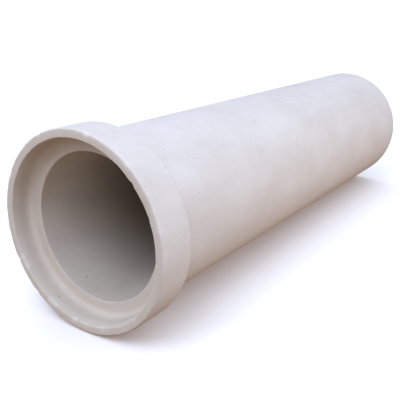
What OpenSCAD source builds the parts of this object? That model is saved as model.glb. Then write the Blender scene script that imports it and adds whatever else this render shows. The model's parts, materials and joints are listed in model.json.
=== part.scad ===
// Bell-and-spigot concrete sewer pipe, cast as one piece.
// It lies on the plane z = 0 as it would on level ground, on the lowest points of its bell
// and of its spigot end, with the bell towards -Y. The bell is wider than the barrel, so the
// axis rises a little towards it. The origin is on the ground, at the middle of the length.

/* [Barrel] */
// Inner diameter, which is the pipe's nominal size
bore_d = 600; // [450:50:900]
// Thickness of the barrel's wall
wall = 55; // [45:1:80]
// Length that each pipe adds to a laid line, from spigot end to socket seat
laying_length = 2500; // [1000:250:3000]
// Radius of the worn arris round the outside of the spigot end
spigot_arris = 10; // [4:1:15]

/* [Bell] */
// Depth of the socket, from the rim down to its seat
socket_depth = 90; // [80:5:120]
// Room all round a spigot inside the socket's parallel wall
joint_gap = 5; // [3:1:12]
// How much wider in radius the socket is at its mouth than at its parallel wall
flare = 6; // [3:1:10]
// Depth of the flared lead-in below the rim
flare_depth = 30; // [20:1:35]
// Width of the flat rim round the mouth
rim_width = 37; // [30:1:60]
// Length of the bell's straight outer band
band_length = 160; // [140:5:220]
// Slope of the shoulder between band and barrel, measured from the axis
shoulder_angle = 45; // [30:5:60]

/* [Edges] */
// Radius of the bell's outer arrises
bell_arris = 8; // [3:1:12]
// Radius of the arrises at the mouth and at both ends of the bore
inner_arris = 5; // [2:1:10]
// Radius of the cove where the shoulder runs into the barrel
shoulder_cove = 25; // [10:1:40]
// Radius of the cove between the socket's wall and its seat
seat_cove = 22; // [10:1:25]

/* [Hidden] */

bore_r = bore_d / 2;
barrel_r = bore_r + wall;
socket_r = barrel_r + joint_gap;
mouth_r = socket_r + flare;
bell_r = mouth_r + rim_width;

rim_z = laying_length + socket_depth;
band_z = rim_z - band_length;
shoulder_z = band_z - (bell_r - barrel_r) / tan(shoulder_angle);

// The two rounded edges that touch the ground, each as the centre of its arc, [radius, height]
spigot_edge = [barrel_r - spigot_arris, spigot_arris];
band_edge = [bell_r - bell_arris, band_z + bell_arris * tan(shoulder_angle / 2)];
// How far the axis rises towards the bell when the pipe rests on those two edges
edge_gap = band_edge - spigot_edge;
rest_angle = atan2(edge_gap[0], edge_gap[1]) - asin((spigot_arris - bell_arris) / norm(edge_gap));
// Height of the axis above the ground at the spigot end
lift = spigot_edge[0] * cos(rest_angle) - spigot_edge[1] * sin(rest_angle) + spigot_arris;
// How far the bell end and the spigot end reach along the ground, from the foot of the axis
bell_reach = band_edge[0] * sin(rest_angle) + (rim_z - bell_arris) * cos(rest_angle) + bell_arris;
spigot_reach = spigot_edge[0] * sin(rest_angle) - spigot_edge[1] * cos(rest_angle) + spigot_arris;

// Straight pieces that make up each rounded corner of the section
arc_steps = 8;

// Each corner of the wall's section as [radius, height] and the arc that rounds it,
// from the foot of the bore outwards, up the outside and back down through the socket
section_corners = [
    [[bore_r, 0], inner_arris],
    [[barrel_r, 0], spigot_arris],
    [[barrel_r, shoulder_z], shoulder_cove],
    [[bell_r, band_z], bell_arris],
    [[bell_r, rim_z], bell_arris],
    [[mouth_r, rim_z], inner_arris],
    [[socket_r, rim_z - flare_depth], 0],
    [[socket_r, laying_length], seat_cove],
    [[bore_r, laying_length], inner_arris],
];

function unit(v) = v / norm(v);

function turned(v, angle) =
    [v.x * cos(angle) - v.y * sin(angle), v.x * sin(angle) + v.y * cos(angle)];

// The points that round one corner of an outline with an arc of the given radius
function rounded(before, corner, after, radius) =
    let (
        to_before = unit(before - corner),
        to_after = unit(after - corner),
        opening = acos(to_before * to_after),
        centre = corner + unit(to_before + to_after) * radius / sin(opening / 2),
        first = corner + to_before * radius / tan(opening / 2) - centre,
        sweep = -sign(cross(to_before, to_after)) * (180 - opening)
    )
    radius == 0
        ? [corner]
        : [for (i = [0:arc_steps]) centre + turned(first, sweep * i / arc_steps)];

// The whole outline: every corner rounded between its two neighbours
function rounded_outline(corners) =
    let (count = len(corners))
    [for (i = [0:count - 1])
        each rounded(
            corners[(i + count - 1) % count][0],
            corners[i][0],
            corners[(i + 1) % count][0],
            corners[i][1])];

module pipe() {
    color("#cfcbc7")
        translate([0, (bell_reach - spigot_reach) / 2, lift])
            rotate([90 - rest_angle, 0, 0])
                rotate_extrude($fn = 180)
                    polygon(rounded_outline(section_corners));
}

pipe();
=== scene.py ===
# %% [markdown]
# # A concrete sewer pipe
#
# The object is one casting: a straight barrel, a wide bell at one end with a stepped socket in it,
# and a plain spigot at the other end that fits the next pipe's socket. It lies on the ground on its
# bell and its spigot end. The CAD model already has its true size and place, so this lesson only
# gives it the things that CAD leaves out: worn edges, a slightly uneven skin and cast concrete's look.

# %% Load the CAD model, which is the fixed frame
import json
import math
import random

import bmesh
import bpy
from mathutils import Matrix, Vector, noise


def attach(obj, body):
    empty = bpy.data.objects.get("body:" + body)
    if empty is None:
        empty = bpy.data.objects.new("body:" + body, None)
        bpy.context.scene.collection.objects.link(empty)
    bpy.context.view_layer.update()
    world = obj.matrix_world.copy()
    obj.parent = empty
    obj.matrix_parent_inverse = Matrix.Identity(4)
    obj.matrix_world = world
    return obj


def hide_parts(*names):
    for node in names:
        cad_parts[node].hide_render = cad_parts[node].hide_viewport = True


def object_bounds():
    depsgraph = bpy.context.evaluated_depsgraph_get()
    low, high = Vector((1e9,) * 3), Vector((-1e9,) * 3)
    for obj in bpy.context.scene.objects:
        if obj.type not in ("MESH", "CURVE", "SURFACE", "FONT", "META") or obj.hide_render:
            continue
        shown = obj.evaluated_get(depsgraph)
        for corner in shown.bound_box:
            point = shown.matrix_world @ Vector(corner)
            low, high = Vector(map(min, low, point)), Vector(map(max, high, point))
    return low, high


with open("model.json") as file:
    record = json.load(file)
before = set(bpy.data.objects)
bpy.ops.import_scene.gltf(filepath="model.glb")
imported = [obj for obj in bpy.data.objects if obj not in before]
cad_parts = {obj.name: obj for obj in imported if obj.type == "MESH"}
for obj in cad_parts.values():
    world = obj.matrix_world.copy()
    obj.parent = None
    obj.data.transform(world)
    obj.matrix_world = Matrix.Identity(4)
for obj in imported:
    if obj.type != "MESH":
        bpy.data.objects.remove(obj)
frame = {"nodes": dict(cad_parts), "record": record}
cad_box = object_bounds()
mounts = {mount["name"]: mount for mount in frame["record"]["mounts"]}
print("CAD box in metres:", [[round(c, 3) for c in corner] for corner in cad_box])

# %% [markdown]
# ## Where the pipe lies
#
# The pipe is turned about its own axis, so it is easiest to model standing on its spigot end at the
# origin, and to lay down afterwards. The record's mounts say where the axis runs and which radii the
# bore, the socket and the barrel have. Everything is worked out from them, so the mesh can't drift
# away from the CAD model.

# %% Read the axis and the main sizes from the mounts
bell_axis = Vector(mounts["socket"]["axis"]).normalized()
point_on_axis = Vector(mounts["spigot"]["pos_m"])


def height_of(name):
    """How far up the axis, towards the bell, a mount lies from the spigot's point."""
    return (Vector(mounts[name]["pos_m"]) - point_on_axis).dot(bell_axis)


spigot_foot = point_on_axis + bell_axis * height_of("spigot_end")
rim_z = height_of("bell_rim") - height_of("spigot_end")
seat_z = height_of("socket_seat") - height_of("spigot_end")
bore_r = mounts["bore"]["dims"]["r_mm"] / 1000
socket_r = mounts["socket"]["dims"]["r_mm"] / 1000
barrel_r = mounts["spigot"]["dims"]["r_mm"] / 1000
bell_r = cad_box[1].x
rest_angle = math.asin(bell_axis.z)
lay_down = Matrix.Translation(spigot_foot) @ Matrix.Rotation(math.pi / 2 - rest_angle, 4, "X")
print(f"length {rim_z:.3f} m, bell radius {bell_r:.3f} m")
print(f"the axis rises {math.degrees(rest_angle):.2f} degrees to the bell")

# %% [markdown]
# ## The section of the wall
#
# A casting like this is a solid of revolution, so one closed outline spun round the axis makes all
# of it. The outline starts as nine corner points joined by edges. A vertex bevel then rounds each
# corner with its own radius. That is quicker to change than an outline drawn point by point, and
# the rounding is what keeps a cast edge from looking like cut paper.

# %% Draw the corners of the section and round them
flare = 0.006          # the socket is this much wider in radius at its mouth
flare_depth = 0.030
band_length = 0.160    # straight outer band of the bell
band_z = rim_z - band_length
shoulder_z = band_z - (bell_r - barrel_r)  # a 45 degree shoulder is as long as it is high
cut_per_radius = math.tan(math.radians(22.5))  # where an arc begins that rounds a 45 degree corner
corner_segments = 6

# Each corner: radius from the axis, height, and how far from the corner its rounding begins
section_corners = [
    (bore_r, 0, 0.005),
    (barrel_r, 0, 0.010),
    (barrel_r, shoulder_z, 0.025 * cut_per_radius),
    (bell_r, band_z, 0.008 * cut_per_radius),
    (bell_r, rim_z, 0.008),
    (socket_r + flare, rim_z, 0.005),
    (socket_r, rim_z - flare_depth, 0.003),
    (socket_r, seat_z, 0.022),
    (bore_r, seat_z, 0.005),
]

pipe_mesh = bmesh.new()
corners = [pipe_mesh.verts.new((radius, 0, height)) for radius, height, _ in section_corners]
for corner, following in zip(corners, corners[1:] + corners[:1]):
    pipe_mesh.edges.new((corner, following))
for corner, (_, _, rounding) in zip(corners, section_corners):
    bmesh.ops.bevel(pipe_mesh, geom=[corner], offset=rounding, offset_type="OFFSET",
                    segments=corner_segments, profile=0.5, affect="VERTICES", material=-1)
print("points in the rounded section:", len(pipe_mesh.verts))

# %% [markdown]
# ## Spinning the section
#
# The long straight runs are cut into shorter pieces first, finer near the bell, because the wear
# and waviness that come later need vertices to move. The spin goes all the way round and merges its
# last ring with its first, which leaves a closed skin with no seam.

# %% Divide the long edges, then spin
barrel_step = 0.040
bell_step = 0.012
steps_round = 360

for edge in list(pipe_mesh.edges):
    lowest = min(vert.co.z for vert in edge.verts)
    step = bell_step if lowest > shoulder_z - barrel_step else barrel_step
    cuts = math.ceil(edge.calc_length() / step) - 1
    if cuts > 0:
        bmesh.ops.subdivide_edges(pipe_mesh, edges=[edge], cuts=cuts)

bmesh.ops.spin(pipe_mesh, geom=pipe_mesh.verts[:] + pipe_mesh.edges[:], cent=(0, 0, 0),
               axis=(0, 0, 1), dvec=(0, 0, 0), angle=2 * math.pi, steps=steps_round, use_merge=True)
bmesh.ops.remove_doubles(pipe_mesh, verts=pipe_mesh.verts, dist=0.00005)
bmesh.ops.recalc_face_normals(pipe_mesh, faces=pipe_mesh.faces)
closed = all(edge.is_manifold for edge in pipe_mesh.edges)
print("faces:", len(pipe_mesh.faces), "closed:", closed, "volume:", round(pipe_mesh.calc_volume(), 4))

# %% [markdown]
# ## A skin that a mould made
#
# Steel moulds are never quite true, and the concrete shrinks a little as it sets, so the skin is
# gently uneven. Where the two halves of the outer mould meet, a thin line of paste is squeezed out
# and stands proud. The edges wear where pipes are rolled, lifted and set down. A vertex only ever
# moves into the concrete, so the pipe can't outgrow its CAD size: the mould line is the one place
# where the skin hasn't been lowered.

# %% Choose where the edges are chipped
chips_per_circle = 11

random.seed(7)
arris_circles = [(bell_r, rim_z), (socket_r + flare, rim_z), (bell_r, band_z), (barrel_r, 0)]
chips = []
for radius, height in arris_circles:
    for _ in range(chips_per_circle):
        turn = random.uniform(0, 2 * math.pi)
        place = Vector((radius * math.cos(turn), radius * math.sin(turn), height))
        chips.append((place, random.uniform(0.010, 0.024), random.uniform(0.0015, 0.0045)))
print("chips:", len(chips), "on", len(arris_circles), "circles")

# %% Describe the unevenness and the mould lines
wave_size = 0.30       # metres from one swell of the skin to the next
wave_depth = 0.0007
mould_lines = [math.radians(130), math.radians(-50)]
mould_line_height = 0.0006
middle_of_wall = (bore_r + barrel_r) / 2


def lowering(place):
    """How far the plain skin lies below its CAD surface: slow swells, and nothing on a mould line."""
    turn = math.atan2(place.y, place.x)
    outside = math.hypot(place.x, place.y) > middle_of_wall
    below_rim = place.z < rim_z - 0.001
    on_line = min(abs(turn - line) for line in mould_lines) < math.pi / steps_round
    if outside and below_rim and on_line:
        return 0
    return mould_line_height + wave_depth * (0.5 + 0.5 * noise.noise(place / wave_size))


print("the skin is lowered by up to", round(1000 * (mould_line_height + wave_depth), 1), "mm")

# %% Describe the wear
wear_size = 0.045      # metres from one worn stretch of an arris to the next
wear_depth = 0.0018
wear_reach = 0.012     # wear fades out this far from an arris
ragged_size = 0.009    # metres from one crumb to the next on a chip's broken face


def edge_wear(place):
    """Depth that an arris has lost: uneven rounding and a chip here and there."""
    radius = math.hypot(place.x, place.y)
    distance = min(math.hypot(radius - r, place.z - z) for r, z in arris_circles)
    if distance > 3 * wear_reach:
        return 0
    worn = wear_depth * max(0, noise.noise(place / wear_size) + 0.3) * max(0, 1 - distance / wear_reach)
    for chip, size, depth in chips:
        gap = (place - chip).length
        if gap < size:
            ragged = 0.7 + 0.6 * noise.noise(place / ragged_size)
            worn += depth * ragged * (1 - (gap / size) ** 2)
    return worn


print("wear reaches", 1000 * wear_reach, "mm from an arris")

# %% Move the vertices, and remember how worn each one is
fully_worn = 0.003     # metres of wear at which the paste counts as freshly rubbed

worn_layer = pipe_mesh.verts.layers.float.new("worn")
for vert in pipe_mesh.verts:
    worn = edge_wear(vert.co)
    vert[worn_layer] = min(1, worn / fully_worn)
    vert.co -= vert.normal * (lowering(vert.co) + worn)
print("volume once worn:", round(pipe_mesh.calc_volume(), 4))

# %% Lay the pipe down and make it an object
bmesh.ops.transform(pipe_mesh, matrix=lay_down, verts=pipe_mesh.verts)
for face in pipe_mesh.faces:
    face.smooth = True
mesh = bpy.data.meshes.new("cast_pipe")
pipe_mesh.to_mesh(mesh)
pipe_mesh.free()
cast_pipe = bpy.data.objects.new("cast_pipe", mesh)
bpy.context.scene.collection.objects.link(cast_pipe)
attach(cast_pipe, "root")
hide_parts("pipe")
print("triangles:", sum(len(polygon.vertices) - 2 for polygon in mesh.polygons))

# %% [markdown]
# ## Helpers for materials
#
# Colours are written as sRGB hex values, as a paint chart gives them, and Blender wants linear
# light, so one function converts them. Another adds a node with its settings and links.

# %% Colour and node helpers


def linear(hex_colour):
    """An sRGB hex colour as linear red, green, blue and alpha."""
    parts = [int(hex_colour[i:i + 2], 16) / 255 for i in (1, 3, 5)]
    return [c / 12.92 if c <= 0.04045 else ((c + 0.055) / 1.055) ** 2.4 for c in parts] + [1]


def add_node(tree, kind, settings, inputs):
    """Adds a node. Settings are its own fields; each input is a value, or a socket to link from."""
    node = tree.nodes.new(kind)
    for name, value in settings.items():
        setattr(node, name, value)
    for name, value in inputs.items():
        if isinstance(value, bpy.types.NodeSocket):
            tree.links.new(value, node.inputs[name])
        else:
            node.inputs[name].default_value = value
    return node


print("white is", linear("#ffffff")[:3])

# %% [markdown]
# ## Precast concrete, cast against steel
#
# Cement paste fills every corner of a smooth steel mould, so the skin is pale, matte and nearly
# even. What the eye still finds is slow cloudiness where the paste dried at different speeds,
# drawn out along the pipe because the mould is drawn off that way, a fine grain of sand under
# the skin, and small air holes that the vibrator didn't shake out. One image wrapped round the pipe
# would stretch or show a seam, so every pattern is worked out from the place in space instead.
#
# All of it is measured along and across the pipe. A Mapping node undoes the laying down, so that
# Z runs along the axis from the spigot end and X and Y run across it.

# %% Start the concrete with its place along and across the pipe
concrete = bpy.data.materials.new("precast_concrete_cast_in_steel")
concrete.use_nodes = True
mix = concrete.node_tree
mix.nodes.clear()
spot = add_node(mix, "ShaderNodeTexCoord", {}, {}).outputs["Object"]
upright = add_node(mix, "ShaderNodeMapping", {"vector_type": "TEXTURE"}, {
    "Vector": spot, "Location": spigot_foot, "Rotation": (math.pi / 2 - rest_angle, 0, 0)}).outputs[0]
along = add_node(mix, "ShaderNodeSeparateXYZ", {}, {0: upright}).outputs["Z"]
across = add_node(mix, "ShaderNodeVectorMath", {"operation": "MULTIPLY"}, {
    0: upright, 1: (1, 1, 0)}).outputs[0]
radius = add_node(mix, "ShaderNodeVectorMath", {"operation": "LENGTH"}, {0: across}).outputs["Value"]
print("material:", concrete.name)

# %% Cloudy paste and drawn streaks
cloud_size = 0.16      # metres across a patch of lighter or darker paste
streak_size = 0.022    # metres across a streak, and a dozen times as long
grain_size = 0.006     # sand is 1 to 2 mm; it is drawn coarser so that it shows from a few metres

drawn_out = add_node(mix, "ShaderNodeVectorMath", {"operation": "MULTIPLY"}, {
    0: upright, 1: (1, 1, 0.7)}).outputs[0]
clouds = add_node(mix, "ShaderNodeTexNoise", {}, {
    "Vector": drawn_out, "Scale": 1 / cloud_size, "Detail": 5.0, "Roughness": 0.6}).outputs[0]
cloud_share = add_node(mix, "ShaderNodeMapRange", {}, {0: clouds, 1: 0.32, 2: 0.68}).outputs[0]
paste = add_node(mix, "ShaderNodeMix", {"data_type": "RGBA"}, {
    0: cloud_share, 6: linear("#c2b9b0"), 7: linear("#cac3bb")}).outputs[2]

long_and_thin = add_node(mix, "ShaderNodeVectorMath", {"operation": "MULTIPLY"}, {
    0: upright, 1: (1, 1, 0.08)}).outputs[0]
streaks = add_node(mix, "ShaderNodeTexNoise", {}, {
    "Vector": long_and_thin, "Scale": 1 / streak_size, "Detail": 3.0, "Roughness": 0.5}).outputs[0]
grain = add_node(mix, "ShaderNodeTexNoise", {}, {
    "Vector": upright, "Scale": 1 / grain_size, "Detail": 2.0, "Roughness": 0.65}).outputs[0]
streak_tone = add_node(mix, "ShaderNodeMapRange", {}, {
    0: streaks, 1: 0.3, 2: 0.7, 3: 0.985, 4: 1.01}).outputs[0]
grain_tone = add_node(mix, "ShaderNodeMapRange", {}, {
    0: grain, 1: 0.3, 2: 0.7, 3: 0.95, 4: 1.04}).outputs[0]
tone = add_node(mix, "ShaderNodeMath", {"operation": "MULTIPLY"}, {
    0: streak_tone, 1: grain_tone}).outputs[0]
skin = add_node(mix, "ShaderNodeMix", {"data_type": "RGBA", "blend_type": "MULTIPLY"}, {
    0: 1.0, 6: paste, 7: tone}).outputs[2]
print("clouds", cloud_size, "m, streaks", streak_size, "m, grain", grain_size, "m")

# %% [markdown]
# ## Inner faces
#
# The socket and the bore are tinted a little warmer, which is painted warm shade for the light that
# bounces about inside them. Further in, painted shade makes the bore darker. A place is on an inner
# face when it lies nearer the axis than a limit does, and the limit widens where the socket begins.
# Then the colour can follow the shape without a second material or a seam between two of them.

# %% Painted warm shade on the inner faces, and painted shade deeper in the bore
bore_shade_starts = 0.05     # metres inside either end of the bore
bore_shade_full = 0.70

inner_limit = add_node(mix, "ShaderNodeMapRange", {}, {
    0: along, 1: seat_z - 0.010, 2: seat_z - 0.002, 3: middle_of_wall, 4: bell_r - 0.004}).outputs[0]
inner = add_node(mix, "ShaderNodeMath", {"operation": "LESS_THAN"}, {
    0: radius, 1: inner_limit}).outputs[0]
# Painted warm shade: inner faces are tinted warmer and a little darker, for light bounced about inside the
# socket and the bore
painted_warm_shade_inside = add_node(mix, "ShaderNodeMix", {"data_type": "RGBA", "blend_type": "MULTIPLY"}, {
    0: inner, 6: skin, 7: linear("#fffaf1")}).outputs[2]
# Painted shade: the bore's colour darkens from each end towards the middle, where less light reaches
from_mouth = add_node(mix, "ShaderNodeMapRange", {"interpolation_type": "SMOOTHSTEP"}, {
    0: along, 1: seat_z - bore_shade_starts, 2: seat_z - bore_shade_full}).outputs[0]
from_spigot = add_node(mix, "ShaderNodeMapRange", {"interpolation_type": "SMOOTHSTEP"}, {
    0: along, 1: bore_shade_starts, 2: bore_shade_full}).outputs[0]
deep = add_node(mix, "ShaderNodeMath", {"operation": "MULTIPLY"}, {
    0: from_mouth, 1: from_spigot}).outputs[0]
painted_bore_shade = add_node(mix, "ShaderNodeMath", {"operation": "MULTIPLY"}, {0: deep, 1: inner}).outputs[0]
with_bore_shade = add_node(mix, "ShaderNodeMix", {"data_type": "RGBA"}, {
    0: painted_bore_shade, 6: painted_warm_shade_inside, 7: linear("#918271")}).outputs[2]
print("the bore is darkest from", bore_shade_full, "m inside either end")

# %% [markdown]
# ## Worn edges, and painted shade and earth underneath
#
# Rubbed and broken edges show paler paste than the skin. Each vertex already carries how worn it is,
# so that number mixes the colour, and the paler paste lies exactly where the shape is worn. Faces
# that look down and lie near the ground are tinted warm brown, which is partly earth and partly
# painted shade for the dim light that reaches them. The faces' own direction and height find those
# places, and the clouds make the cover patchy.

# %% Paler worn edges
rubbed_share = 0.6     # how far a fully worn edge goes towards the paler paste

worn = add_node(mix, "ShaderNodeAttribute", {"attribute_name": "worn"}, {}).outputs["Fac"]
rubbed = add_node(mix, "ShaderNodeMath", {"operation": "MULTIPLY"}, {
    0: worn, 1: rubbed_share}).outputs[0]
with_wear = add_node(mix, "ShaderNodeMix", {"data_type": "RGBA"}, {
    0: rubbed, 6: with_bore_shade, 7: linear("#dad5cf")}).outputs[2]
print("fully worn from", 1000 * fully_worn, "mm of wear")

# %% Painted warm shade and earth on the underside
shade_and_earth_fades = 0.34     # metres above the ground where the last earth is
shade_and_earth_full = 0.10

# Painted shade and earth: faces that look down and lie near the ground are tinted warm brown
facing = add_node(mix, "ShaderNodeNewGeometry", {}, {}).outputs["Normal"]
facing_up = add_node(mix, "ShaderNodeSeparateXYZ", {}, {0: facing}).outputs["Z"]
level = add_node(mix, "ShaderNodeSeparateXYZ", {}, {0: spot}).outputs["Z"]
under = add_node(mix, "ShaderNodeMapRange", {}, {
    0: facing_up, 1: -0.25, 2: -0.95, 3: 0.0, 4: 1.0}).outputs[0]
near_ground = add_node(mix, "ShaderNodeMapRange", {}, {
    0: level, 1: shade_and_earth_fades, 2: shade_and_earth_full, 3: 0.0, 4: 1.0}).outputs[0]
shaded_and_soiled = add_node(mix, "ShaderNodeMath", {"operation": "MULTIPLY"}, {0: under, 1: near_ground}).outputs[0]
patchy = add_node(mix, "ShaderNodeMapRange", {}, {0: clouds, 1: 0.3, 2: 0.6, 3: 0.2, 4: 0.65}).outputs[0]
shade_and_earth = add_node(mix, "ShaderNodeMath", {"operation": "MULTIPLY"}, {0: shaded_and_soiled, 1: patchy}).outputs[0]
with_shade_and_earth = add_node(mix, "ShaderNodeMix", {"data_type": "RGBA"}, {
    0: shade_and_earth, 6: with_wear, 7: linear("#a08468")}).outputs[2]
print("earth reaches", shade_and_earth_fades, "m up the underside")

# %% [markdown]
# ## Air holes
#
# Air that the vibrator didn't shake out sits against the mould as small round bubbles, and leaves
# holes of 3 to 9 mm in the skin. Cells of a Voronoi texture give each place for a hole a centre and
# random numbers of its own. One number decides whether there is a hole, and another how wide it is.
# Each hole is also coloured darker, which is painted shade.

# %% Air holes, with painted shade inside them
hole_spacing = 0.045   # metres between places where an air hole may be
hole_share = 0.30      # how many of those places have one
smallest_hole = 0.035  # radius, as a share of the spacing
largest_hole = 0.095

cells = add_node(mix, "ShaderNodeTexVoronoi", {}, {"Vector": upright, "Scale": 1 / hole_spacing})
draw = add_node(mix, "ShaderNodeSeparateColor", {}, {0: cells.outputs["Color"]}).outputs
present = add_node(mix, "ShaderNodeMath", {"operation": "LESS_THAN"}, {
    0: draw[0], 1: hole_share}).outputs[0]
hole_size = add_node(mix, "ShaderNodeMapRange", {}, {
    0: draw[1], 3: smallest_hole, 4: largest_hole}).outputs[0]
nearness = add_node(mix, "ShaderNodeMath", {"operation": "DIVIDE"}, {
    0: cells.outputs["Distance"], 1: hole_size}).outputs[0]
pit = add_node(mix, "ShaderNodeMapRange", {"interpolation_type": "SMOOTHSTEP"}, {
    0: nearness, 1: 0.6, 2: 1.0, 3: 1.0, 4: 0.0}).outputs[0]
hole = add_node(mix, "ShaderNodeMath", {"operation": "MULTIPLY"}, {0: pit, 1: present}).outputs[0]
# Painted shade: each hole is coloured darker, for the shade that falls into it
colour = add_node(mix, "ShaderNodeMix", {"data_type": "RGBA"}, {
    0: hole, 6: with_shade_and_earth, 7: linear("#857c73")}).outputs[2]
print("air holes up to", round(2000 * largest_hole * hole_spacing, 1), "mm across")

# %% [markdown]
# ## Relief too fine for the mesh
#
# A bump lets light find the grain, the air holes and the fine rings that the turning roller left
# in the bore and on the rim. The rings come from a noise that only knows how far along and how far
# out a place is, so it can't change on the way round.

# %% Rings, grain and holes as bump
ring_spacing = 0.009   # metres; a roller's marks are finer, and are drawn coarser so that they show

rings_at = add_node(mix, "ShaderNodeCombineXYZ", {}, {0: radius, 1: along, 2: 0.0}).outputs[0]
rings = add_node(mix, "ShaderNodeTexNoise", {}, {
    "Vector": rings_at, "Scale": 1 / ring_spacing, "Detail": 1.0, "Roughness": 0.5}).outputs[0]
inner_rings = add_node(mix, "ShaderNodeMath", {"operation": "MULTIPLY"}, {0: rings, 1: inner}).outputs[0]
ring_relief = add_node(mix, "ShaderNodeBump", {}, {
    "Height": inner_rings, "Strength": 0.4, "Distance": 0.0010}).outputs[0]
grain_relief = add_node(mix, "ShaderNodeBump", {}, {
    "Height": grain, "Strength": 0.45, "Distance": 0.0006, "Normal": ring_relief}).outputs[0]
hole_depth = add_node(mix, "ShaderNodeMath", {"operation": "SUBTRACT"}, {0: 1.0, 1: hole}).outputs[0]
relief = add_node(mix, "ShaderNodeBump", {}, {
    "Height": hole_depth, "Strength": 0.8, "Distance": 0.002, "Normal": grain_relief}).outputs[0]
print("rings", ring_spacing, "m apart, grain", grain_size, "m, holes on top")

# %% Finish the shader and give it to the pipe
shader = add_node(mix, "ShaderNodeBsdfPrincipled", {}, {
    "Base Color": colour, "Roughness": 0.88, "IOR": 1.5, "Specular IOR Level": 0.3, "Normal": relief})
add_node(mix, "ShaderNodeOutputMaterial", {}, {"Surface": shader.outputs[0]})

cast_pipe.data.materials.append(concrete)
frame["nodes"]["pipe"].data.materials.clear()
frame["nodes"]["pipe"].data.materials.append(concrete)
print("nodes in the concrete:", len(mix.nodes))

# %% [markdown]
# ## Floor and surround
#
# The floor is a plain pale plane. A studio floor this bright would throw far more light up under the
# pipe than earth does, so bounced light doesn't see the floor. It sees the lower half of the
# surround instead, which has earth's own dim warm brown. The upper half is a soft, cool sky. The
# bore then stays dark, because little of the sky can be seen from inside it, and painted shade
# makes it darker still further in.

# %% Lay the floor
floor_size = 200       # metres

floor_mesh = bmesh.new()
bmesh.ops.create_grid(floor_mesh, x_segments=1, y_segments=1, size=floor_size / 2)
floor_data = bpy.data.meshes.new("floor")
floor_mesh.to_mesh(floor_data)
floor_mesh.free()
floor = bpy.data.objects.new("floor", floor_data)
bpy.context.scene.collection.objects.link(floor)
floor_paint = bpy.data.materials.new("pale_floor_paint")
floor_paint.use_nodes = True
floor_shader = floor_paint.node_tree.nodes["Principled BSDF"]
floor_shader.inputs["Base Color"].default_value = linear("#f8f2ea")
floor_shader.inputs["Roughness"].default_value = 0.95
floor_shader.inputs["Specular IOR Level"].default_value = 0.0
floor_data.materials.append(floor_paint)
floor.visible_diffuse = False
floor.visible_glossy = False
floor.visible_shadow = False
print("floor:", floor_size, "m square")

# %% Make the surround
earth_top = -0.03      # how far below level the earth colour begins, as a share of straight down
air_strength = 1.64    # a hex colour is at most white, and the top of the sky is brighter than that

surround = bpy.data.worlds.new("sky_over_earth")
surround.use_nodes = True
air = surround.node_tree
air.nodes.clear()
direction = add_node(air, "ShaderNodeTexCoord", {}, {}).outputs["Generated"]
upwards = add_node(air, "ShaderNodeSeparateXYZ", {}, {0: direction}).outputs["Z"]
high = add_node(air, "ShaderNodeMapRange", {}, {0: upwards, 1: 0.0, 2: 0.7}).outputs[0]
sky_colour = add_node(air, "ShaderNodeMix", {"data_type": "RGBA"}, {
    0: high, 6: linear("#c0c3c9"), 7: linear("#dae6ff")}).outputs[2]
low = add_node(air, "ShaderNodeMapRange", {}, {
    0: upwards, 1: earth_top, 2: 3 * earth_top}).outputs[0]
all_round = add_node(air, "ShaderNodeMix", {"data_type": "RGBA"}, {
    0: low, 6: sky_colour, 7: linear("#775d46")}).outputs[2]
background = add_node(air, "ShaderNodeBackground", {}, {"Color": all_round, "Strength": air_strength})
add_node(air, "ShaderNodeOutputWorld", {}, {"Surface": background.outputs[0]})
bpy.context.scene.world = surround
bpy.context.scene.view_settings.view_transform = "Standard"
print("surround:", surround.name)

# %% [markdown]
# ## Lights
#
# A soft panel high in front of the bell lets light fall into the socket and on to the lower half of
# the bore's mouth. A second one at the side shapes the barrel, and keeps its flank from going flat.
# A weak warm one stands for the light that sunlit ground sends up along the near side. All three are
# broad, because a small lamp would draw hard shadows that soft daylight doesn't have.

# %% Set the lights


def panel(name, place, aim, width, watts, hex_colour):
    """A square soft light that faces the point it is aimed at, and isn't seen itself."""
    light = bpy.data.lights.new(name, "AREA")
    light.size = width
    light.energy = watts
    light.color = linear(hex_colour)[:3]
    lamp = bpy.data.objects.new(name, light)
    lamp.location = place
    lamp.visible_camera = False
    lamp.rotation_euler = (Vector(aim) - Vector(place)).to_track_quat("-Z", "Y").to_euler()
    bpy.context.scene.collection.objects.link(lamp)
    return lamp


bell_mouth = Vector((0, cad_box[0].y, (cad_box[0].z + cad_box[1].z) / 2))
panel("front_panel", bell_mouth + Vector((0.6, -2.2, 3.2)), bell_mouth, 2.0, 70, "#d8e5ff")
panel("side_panel", (3.7, 0.1, 1.0), (0, 0, 0.4), 2.5, 38, "#ecf2ff")
panel("earth_glow", (2.6, 0.2, -0.5), (0, 0.1, 0.4), 1.8, 9, "#ffe0c4")

# %% [markdown]
# ## Camera
#
# The camera stands close to the bell, a little to its right and above it, so the mouth is near and
# large and the barrel runs away from it. It is placed from the middle of the rim, which keeps the
# view of the bell if the pipe's length is changed. The nearness is what makes the barrel look so tapered: a
# longer lens from further off would draw its edges more nearly parallel.

# %% Place the camera
camera_turn = math.radians(34.6)   # round from straight into the bell
camera_tilt = math.radians(19.7)   # down from level
camera_from_rim = Vector((1.533, -1.423, 0.872))

camera_data = bpy.data.cameras.new("camera")
camera_data.lens = 53.9
camera = bpy.data.objects.new("camera", camera_data)
rim_centre = spigot_foot + bell_axis * rim_z
camera.location = rim_centre + camera_from_rim
camera.rotation_euler = (math.pi / 2 - camera_tilt, 0, camera_turn)
bpy.context.scene.collection.objects.link(camera)
bpy.context.scene.camera = camera
print("camera at", [round(c, 3) for c in camera.location])
